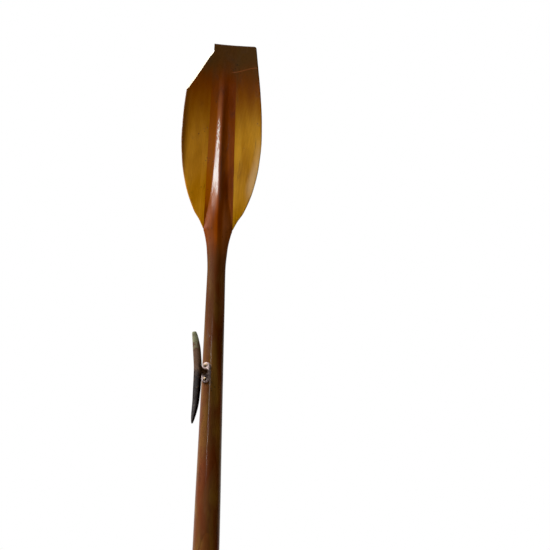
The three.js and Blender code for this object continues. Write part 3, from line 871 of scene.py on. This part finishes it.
def break_cutter():
    """The lost corner and more: its lower side is the fracture, stepped along the grain and slanting, so
    that more is gone from the face than from the back."""
    dice = random.Random(11)
    route = []
    d = SPLIT_END
    while d < BREAK_EDGE + 6:
        run = dice.uniform(0.8, 2.6)
        step = dice.uniform(-STEP_HEIGHT, STEP_HEIGHT) - (dice.random() < 0.06) * dice.uniform(0.2, 0.6)
        route.append((d, step))
        route.append((d + run * 0.92, step + dice.uniform(-0.06, 0.06)))
        d += run
    rows = []
    for depth in steps(-CUTTER_REACH, CUTTER_REACH, 0.6):
        row = []
        for along, step in route:
            if along > BREAK_EDGE:
                x = half_width(BREAK_EDGE) + (along - BREAK_EDGE) * 0.7
            else:
                x = break_line(along)
            fray = FRAY * noise.noise(Vector((along * 0.9, depth * 0.5, 5)))
            slant = BREAK_SLANT * clamp01((SHEET_REACH - depth) / (2 * SHEET_REACH))
            shift = step + fray + slant
            px = BREAK_ACROSS * shift - x
            pd = along + BREAK_DOWN * shift
            row.append((px, middle(px, min(pd, 200)) + depth, TIP_Z - pd))
        first, last = row[0], row[-1]
        inside = 8 - centre_half(SPLIT_END)
        row = [(inside, first[1], TIP_Z + 20), (inside, first[1], first[2])] + row
        row += [(CUTTER_SIDE, last[1], last[2]), (CUTTER_SIDE, last[1], TIP_Z + 20)]
        rows.append(row)
    rows.insert(0, [(x, -100, z) for x, y, z in rows[0]])
    rows.append([(x, 60, z) for x, y, z in rows[-1]])
    work = bmesh.new()
    rings = [[work.verts.new(point) for point in row] for row in rows]
    bridge(work, rings)
    work.faces.new(rings[0])
    work.faces.new(rings[-1][::-1])
    bmesh.ops.triangulate(work, faces=work.faces)
    face_out(work)
    return work


def make_wings():
    right = add_object("right_wing", wing_work(1), RIGHT_WING_WOOD)
    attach(right, "root")
    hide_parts("blade_wing_right")

    whole = wing_work(-1)
    weld(whole)
    face_out(whole)
    whole_mesh = as_mesh(whole, "left_wing")
    whole_mesh.materials.append(LEFT_WING_WOOD)
    cutter_mesh = as_mesh(break_cutter(), "break_cutter")
    cutter_mesh.materials.append(BROKEN_WOOD)
    work = reopened(carved("left_wing_whole", whole_mesh, cutter_mesh, material_mode="TRANSFER"))
    left = add_object("left_wing", work, [LEFT_WING_WOOD, BROKEN_WOOD], 30)
    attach(left, "root")
    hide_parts("blade_wing_left")


make_wings()


# ---- The handle.

GRIP_RADIUS = 16.6
GRIP_LENGTH = 129.7
SPIGOT_RADIUS = 7.4


def make_handle():
    """The grip, a little swollen in the middle, with a scribed line by the loom, and its spigot."""
    low, high = (corner[2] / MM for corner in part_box("handle"))
    shoulder = low + GRIP_LENGTH
    grip = [(0, low), (GRIP_RADIUS - 4, low), (GRIP_RADIUS - 1.2, low + 1.6), (GRIP_RADIUS, low + 5)]
    for z in steps(low + 12, shoulder - 6, 4):
        swell = 0.4 * sin(pi * (z - low) / 110)
        groove = 0.25 * exp(-(((z - shoulder + 14) / 1.2) ** 2))
        grip.append((GRIP_RADIUS - 0.1 + swell - groove, z))
    ends = [(GRIP_RADIUS + 0.3, shoulder), (SPIGOT_RADIUS, shoulder), (SPIGOT_RADIUS + 1, high), (0, high)]
    work = turned(rounded_profile(grip + ends, 1.5), 72)
    piece = add_object("grip", work, GRIP_WOOD)
    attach(piece, "root")
    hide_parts("handle")


make_handle()
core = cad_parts["rowlock_core"]
core.data.materials.clear()
core.data.materials.append(CORE_WOOD)


# ---- Leatherwork.

SEAM_TURN = pi / 2
SEAM_GAP = 0.8
RING_POINTS = 96
LUMPINESS = 0.22


def leather_ring(inner, outer, low, high, seam_turn, end_taper, end_round):
    """A strip of leather wrapped round the loom, its ends skived thin over end_taper, its edges rounded."""
    margins = sorted({0, 0.12, 0.4, 0.9, end_round, end_taper})
    zs = [low + m for m in margins] + steps(low + end_taper + 3, high - end_taper - 3, 6)
    zs += [high - m for m in reversed(margins)]
    slit = SEAM_GAP / 2 / outer
    outer_rings, inner_rings = [], []
    for z in zs:
        edge = min(z - low, high - z)
        share = rounding(edge + 0.02, end_round)
        if end_taper > end_round:
            share *= 0.45 + 0.55 * clamp01(edge / end_taper)
        outer_ring, inner_ring = [], []
        for i in range(RING_POINTS + 1):
            part = i / RING_POINTS
            turn = seam_turn + slit + (2 * pi - 2 * slit) * part
            lip = rounding(min(part, 1 - part) * 2 * pi * outer + 0.05, 1)
            rough = noise.noise(Vector((cos(turn) * 2.2, sin(turn) * 2.2, z / 13)))
            lump = LUMPINESS * (0.5 + 0.5 * rough)
            radius = inner + (outer - inner - lump) * share * (0.5 + 0.5 * lip)
            outer_ring.append((radius * cos(turn), radius * sin(turn), z))
            inner_ring.append((inner * cos(turn), inner * sin(turn), z))
        outer_rings.append(outer_ring)
        inner_rings.append(inner_ring)
    return lofted(outer_rings, inner_rings)


def box_of(name):
    low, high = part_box(name)
    return [value / MM for value in low], [value / MM for value in high]


def make_leather():
    """The sleeve and the button's three straps; gives the sleeve's outer radius."""
    low, high = box_of("sleeve")
    sleeve_outer = high[0]
    inner = half_width(TIP_Z) + 0.05
    work = leather_ring(inner, sleeve_outer, low[2], high[2], SEAM_TURN, 9, 1)
    sleeve = add_object("leather_sleeve", work, SLEEVE_LEATHER, 60)
    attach(sleeve, "root")
    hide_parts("sleeve")
    inside = sleeve_outer
    for i, name in enumerate(("inner", "middle", "outer")):
        low, high = box_of(f"button_strap_{name}")
        work = leather_ring(inside + 0.05, high[0], low[2], high[2], SEAM_TURN * i, 1.1, 1.1)
        strap = add_object(f"strap_{name}", work, BUTTON_LEATHER, 60)
        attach(strap, "root")
        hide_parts(f"button_strap_{name}")
        inside = high[0]
    return sleeve_outer


SLEEVE_OUTER = make_leather()


THREAD_RADIUS = 0.42
STITCH_PITCH = 6.5
STITCH_REACH = 3.4
STITCH_SINK = 0.4
CROSSING_LIFT = 0.35


def thread_run(points, radius, sides=7):
    """A stitch: a round thread along points, its two ends sunk in the leather."""
    work = bmesh.new()
    rings = []
    turns = circle(sides)
    for i, point in enumerate(points):
        ahead = points[min(i + 1, len(points) - 1)] - points[max(i - 1, 0)]
        ahead.normalize()
        across = ahead.cross(Vector((0, 1, 0))).normalized()
        up = across.cross(ahead)
        offsets = [radius * (cos(t) * across + sin(t) * up) for t in turns]
        rings.append([work.verts.new(point + offset) for offset in offsets])
    bridge(work, rings)
    cap(work, rings)
    return work


def make_stitching():
    """The cross stitch that laces the sleeve's seam, left open under the button."""
    (_, _, low), (_, _, high) = box_of("sleeve")
    (_, _, button_low), (_, _, button_high) = box_of("button_strap_outer")
    stitches = []
    z = low + 6
    while z + STITCH_PITCH < high - 5:
        hidden = z + STITCH_PITCH > button_low - 1 and z < button_high + 1
        for sign, crossing in ((-1, 0), (1, CROSSING_LIFT)):
            points = []
            for i in range(9):
                t = i / 8
                x = sign * STITCH_REACH * (2 * t - 1)
                arch = sin(pi * t)
                lift = THREAD_RADIUS * arch**0.5 + crossing * arch**2 - STITCH_SINK
                points.append(Vector((x, sqrt(SLEEVE_OUTER**2 - x * x) + lift, z + STITCH_PITCH * t)))
            if not hidden:
                stitches.append(thread_run(points, THREAD_RADIUS))
        z += STITCH_PITCH
    piece = add_object("sleeve_stitching", joined(stitches), THREAD, 60)
    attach(piece, "root")


make_stitching()


# ---- Tacks and nails.


def driven(kind, count, z, radius, head, crown, shank, length, seed):
    """A ring of tacks or nails as one piece, each a little differently driven; head and shank are radii."""
    dice = random.Random(seed)
    rim = 0.14
    point = 1.6 * shank
    profile = [(0, -length), (shank, point - length), (shank, 0), (head * 0.92, 0), (head, rim * crown)]
    for i in range(1, 7):
        turn = pi / 2 * i / 6
        profile.append((head * cos(turn) if i < 6 else 0, crown * (rim + (1 - rim) * sin(turn))))
    works = []
    for i in range(count):
        turn = pi / 2 + 2 * pi * (i + 0.5) / count
        lean = Matrix.Rotation(dice.uniform(-0.07, 0.07), 4, "X")
        tilt = lean @ Matrix.Rotation(dice.uniform(-0.07, 0.07), 4, "Y")
        work = turned(profile, 28)
        move(work, outward(turn, radius - 0.05, z) @ tilt)
        works.append(work)
    names = [f"{kind}_{i + 1}" for i in range(count)]
    piece = add_object(f"{kind}s", joined(works), COPPER, 50)
    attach(piece, "root")
    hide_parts(*names)


def middle_z(name):
    low, high = box_of(name)
    return (low[2] + high[2]) / 2


driven("outboard_tack", 7, middle_z("outboard_tack_1"), SLEEVE_OUTER, 3.2, 1.2, 0.8, 8, 3)
driven("inboard_tack", 7, middle_z("inboard_tack_1"), SLEEVE_OUTER, 3.2, 1.2, 0.8, 8, 5)
BUTTON_OUTER = box_of("button_strap_outer")[1][0]
driven("button_nail", 4, middle_z("button_nail_1"), BUTTON_OUTER, 4, 1.5, 1.1, 24, 8)


# ---- The horn cleat and its screws. It is made with its height along +X and its horns along +Z, then
# turned. Along the horns, -1 is the lower one's tip and 1 the upper one's.

CLEAT_FROM_TIP = 741
CLEAT_Z = TIP_Z - CLEAT_FROM_TIP
CLEAT_TURN = radians(-130)
CLEAT_SEAT = half_width(CLEAT_FROM_TIP)
UPPER_HORN = 64
LOWER_HORN = 102
BASE_LENGTH = 38
BASE_WIDTH = 18
BASE_TOP = CLEAT_SEAT + 3
HORN_CENTRE = 42
HORN_FLATNESS = 0.72
SCREW_OFFSET = 12.8
SCREW_HEAD = 3.6
SCREW_SINK = 2.4
SCREW_SHANK = 1.7
SCREW_ROOM = 0.3
horn_half = through([
    (-1, 1.5), (-0.93, 3.3), (-0.77, 5.5), (-0.6, 6.6), (-0.3, 7.6), (0, 7.9), (0.5, 7.7), (0.8, 6.3),
    (0.95, 5), (1, 4),
])
horn_rise = through([(-1, 10), (-0.55, 2.2), (-0.1, 0.8), (0.42, 5), (0.82, 11.5), (1, 16)])


def horn_work():
    """Both horns in one, oval in section."""
    outer, inner = [], []
    for t in steps(-1, 1, 0.02):
        z = t * (LOWER_HORN if t < 0 else UPPER_HORN)
        above, below = [], []
        for i in range(17):
            turn = pi * i / 16
            across = horn_half(t) * cos(turn)
            rise = HORN_FLATNESS * horn_half(t) * sin(turn)
            above.append((HORN_CENTRE + horn_rise(t) + rise, across, z))
            below.append((HORN_CENTRE + horn_rise(t) - rise, across, z))
        outer.append(above)
        inner.append(below)
    work = lofted(outer, inner)
    weld(work)
    return work


def neck_work():
    """The round stem between the base and the horns."""
    profile = [
        (0, CLEAT_SEAT + 1), (8.4, CLEAT_SEAT + 1), (8.2, BASE_TOP), (6.4, BASE_TOP + 2.2),
        (5.4, BASE_TOP + 5), (5.2, BASE_TOP + 8), (5.8, HORN_CENTRE - 5), (6.8, HORN_CENTRE - 2.5),
        (0, HORN_CENTRE),
    ]
    work = turned(profile, 40)
    move(work, Matrix.Rotation(pi / 2, 4, "Y"))
    return work


def base_work():
    """An oval plate with a softened rim."""
    work = bmesh.new()
    straight = (BASE_LENGTH - BASE_WIDTH) / 2
    levels = [(CLEAT_SEAT - 4, 0), (BASE_TOP - 0.9, 0), (BASE_TOP - 0.3, 0.35), (BASE_TOP, 1.1)]
    rings = []
    for level, inset in levels:
        reach = BASE_WIDTH / 2 - inset
        ring = []
        for end, start in ((1, 0), (-1, pi)):
            for i in range(13):
                turn = pi * i / 12 + start
                z = end * straight + reach * sin(turn)
                ring.append(work.verts.new((level, reach * cos(turn), z)))
        rings.append(ring)
    bridge(work, rings)
    cap(work, rings)
    return work


def make_cleat():
    """The casting, its joins run together, with its countersinks and the hollow that fits the loom."""
    casting = joined([horn_work(), neck_work(), base_work()])
    face_out(casting)
    smoothed = modified(
        loose_object("casting", as_mesh(casting, "casting")),
        ("REMESH", {"mode": "VOXEL", "voxel_size": 0.62, "use_smooth_shade": True}),
        ("SMOOTH", {"factor": 0.5, "iterations": 5}))
    shank = SCREW_SHANK + SCREW_ROOM
    head = SCREW_HEAD + SCREW_ROOM
    sink_profile = [(0, -8), (shank, -8), (shank, -SCREW_SINK - SCREW_ROOM), (head, 0), (head, 3), (0, 3)]
    cutters = []
    for offset in (SCREW_OFFSET, -SCREW_OFFSET):
        sink = turned(sink_profile, 40)
        turn = Matrix.Translation((BASE_TOP, 0, offset)) @ Matrix.Rotation(pi / 2, 4, "Y")
        move(sink, turn)
        cutters.append(sink)
    seat = CLEAT_SEAT + 0.12
    cutters.append(turned([(0, -60), (seat, -60), (seat, 60), (0, 60)], 160))
    cutter = joined(cutters)
    face_out(cutter)
    work = reopened(carved("casting", smoothed, as_mesh(cutter, "cleat_cutter"), use_self=True))
    place = Matrix.Translation((0, 0, CLEAT_Z)) @ Matrix.Rotation(CLEAT_TURN, 4, "Z")
    move(work, place)
    low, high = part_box("cleat")
    piece = add_object("horn_cleat", work, cleat_metal(low[2], high[2]), 48)
    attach(piece, "root")
    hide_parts("cleat")


make_cleat()


def make_screws():
    """Two countersunk screws with slotted heads."""
    profile = [
        (0, -13), (SCREW_SHANK, -10), (SCREW_SHANK, -SCREW_SINK), (SCREW_HEAD - 0.15, -0.15),
        (SCREW_HEAD, 0), (2.6, 0.38), (1.3, 0.52), (0, 0.55)]
    works = []
    for i, offset in enumerate((SCREW_OFFSET, -SCREW_OFFSET)):
        slot = bmesh.new()
        bmesh.ops.create_cube(slot, size=1)
        bmesh.ops.scale(slot, vec=(9, 0.8, 1.8), verts=slot.verts)
        spin = Matrix.Rotation(radians(35 + 80 * i), 4, "Z")
        move(slot, spin @ Matrix.Translation((0, 0, 0.2)))
        work = reopened(carved("screw", as_mesh(turned(profile, 36), "screw"), as_mesh(slot, "slot")))
        place = outward(CLEAT_TURN, BASE_TOP, CLEAT_Z + offset)
        move(work, place)
        works.append(work)
    piece = add_object("cleat_screws", joined(works), BRASS, 35)
    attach(piece, "root")
    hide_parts("cleat_screw_1", "cleat_screw_2")


make_screws()


# ---- Floor, light and camera.

FLOOR_REACH = 6.0
FLOOR_GAP = 0.0005


def make_floor():
    """A pale floor, just clear of the grip's end."""
    mesh = bpy.data.meshes.new("floor")
    z = BUTT_Z * MM - FLOOR_GAP
    corners = [(x * FLOOR_REACH, y * FLOOR_REACH, z) for x, y in ((-1, -1), (1, -1), (1, 1), (-1, 1))]
    mesh.from_pydata(corners, [], [(0, 1, 2, 3)])
    material, tree, shader = new_material("pale_floor")
    tone = speckle(tree, object_place(tree), 3, 3)
    connect(tree, shader, {
        "Base Color": ramp(tree, tone, [(0.3, srgb(214, 212, 208)), (0.7, srgb(226, 224, 220))]),
        "Roughness": 0.7,
    })
    mesh.materials.append(material)
    loose_object("floor", mesh)


LIGHT_AIM = 1.75


def softbox(name, turn, rise, distance, size, radiance, colour=(1, 1, 1)):
    """A soft light at so many degrees left of straight ahead of the oar's face and above level, facing the
    blade. Its distance and size are in metres."""
    light = bpy.data.lights.new(name, "AREA")
    light.shape = "RECTANGLE"
    light.size, light.size_y = size
    light.energy = radiance * pi * size[0] * size[1]
    light.color = colour
    lamp = loose_object(name, light)
    turn, rise = radians(turn), radians(rise)
    way = Vector((-sin(turn) * cos(rise), -cos(turn) * cos(rise), sin(rise)))
    lamp.location = Vector((0, 0, LIGHT_AIM)) + distance * way
    lamp.rotation_euler = (-way).to_track_quat("-Z", "Y").to_euler()
    lamp.visible_camera = False


def make_world():
    """White behind the oar to the eye, and for its light a pale wall behind it and a dim room before."""
    world = bpy.data.worlds.new("studio")
    bpy.context.scene.world = world
    world.use_nodes = True
    tree = world.node_tree
    tree.nodes.clear()
    way = node(tree, "TexCoord").outputs["Generated"]
    glow = spread(tree, axis(tree, way, "Y"), 0.1, 0.9, 0.035, 0.7)
    room = node(tree, "Background", {"Color": (1, 0.97, 0.93, 1), "Strength": glow})
    white = node(tree, "Background", {"Color": (1, 1, 1, 1), "Strength": 1})
    seen = node(tree, "LightPath").outputs["Is Camera Ray"]
    either = node(tree, "MixShader", {0: seen, 1: room.outputs[0], 2: white.outputs[0]})
    node(tree, "OutputWorld", {"Surface": either.outputs[0]})


def make_camera():
    """Looks up at the blade from in front and a little left, with the oar left of the middle."""
    distance = 1.4075
    below_tip = 1.283
    offset = radians(-3)
    yaw = radians(7.55)
    pitch = radians(28)
    data = bpy.data.cameras.new("camera")
    data.sensor_width = 36
    data.lens = 54.78
    camera = loose_object("camera", data)
    camera.location = (distance * sin(offset), -distance * cos(offset), TIP_Z * MM - below_tip)
    camera.rotation_euler = (pi / 2 + pitch, 0, -yaw)
    bpy.context.scene.camera = camera


make_floor()
make_world()
softbox("window", 44, 32, 2.6, (0.6, 0.4), 18, (0.78, 0.96, 1))
softbox("door_gap", 27, 14, 2.6, (0.16, 0.8), 9)
softbox("high_side", 88, 50, 3, (2.2, 2.2), 17)
softbox("ceiling", 0, 70, 2.6, (2.4, 1.6), 2.2)
make_camera()
BLACK_LEVEL = 0.005
view = bpy.context.scene.view_settings
view.view_transform = "Standard"
view.use_curve_mapping = True
view.curve_mapping.black_level = (BLACK_LEVEL,) * 3
view.curve_mapping.update()
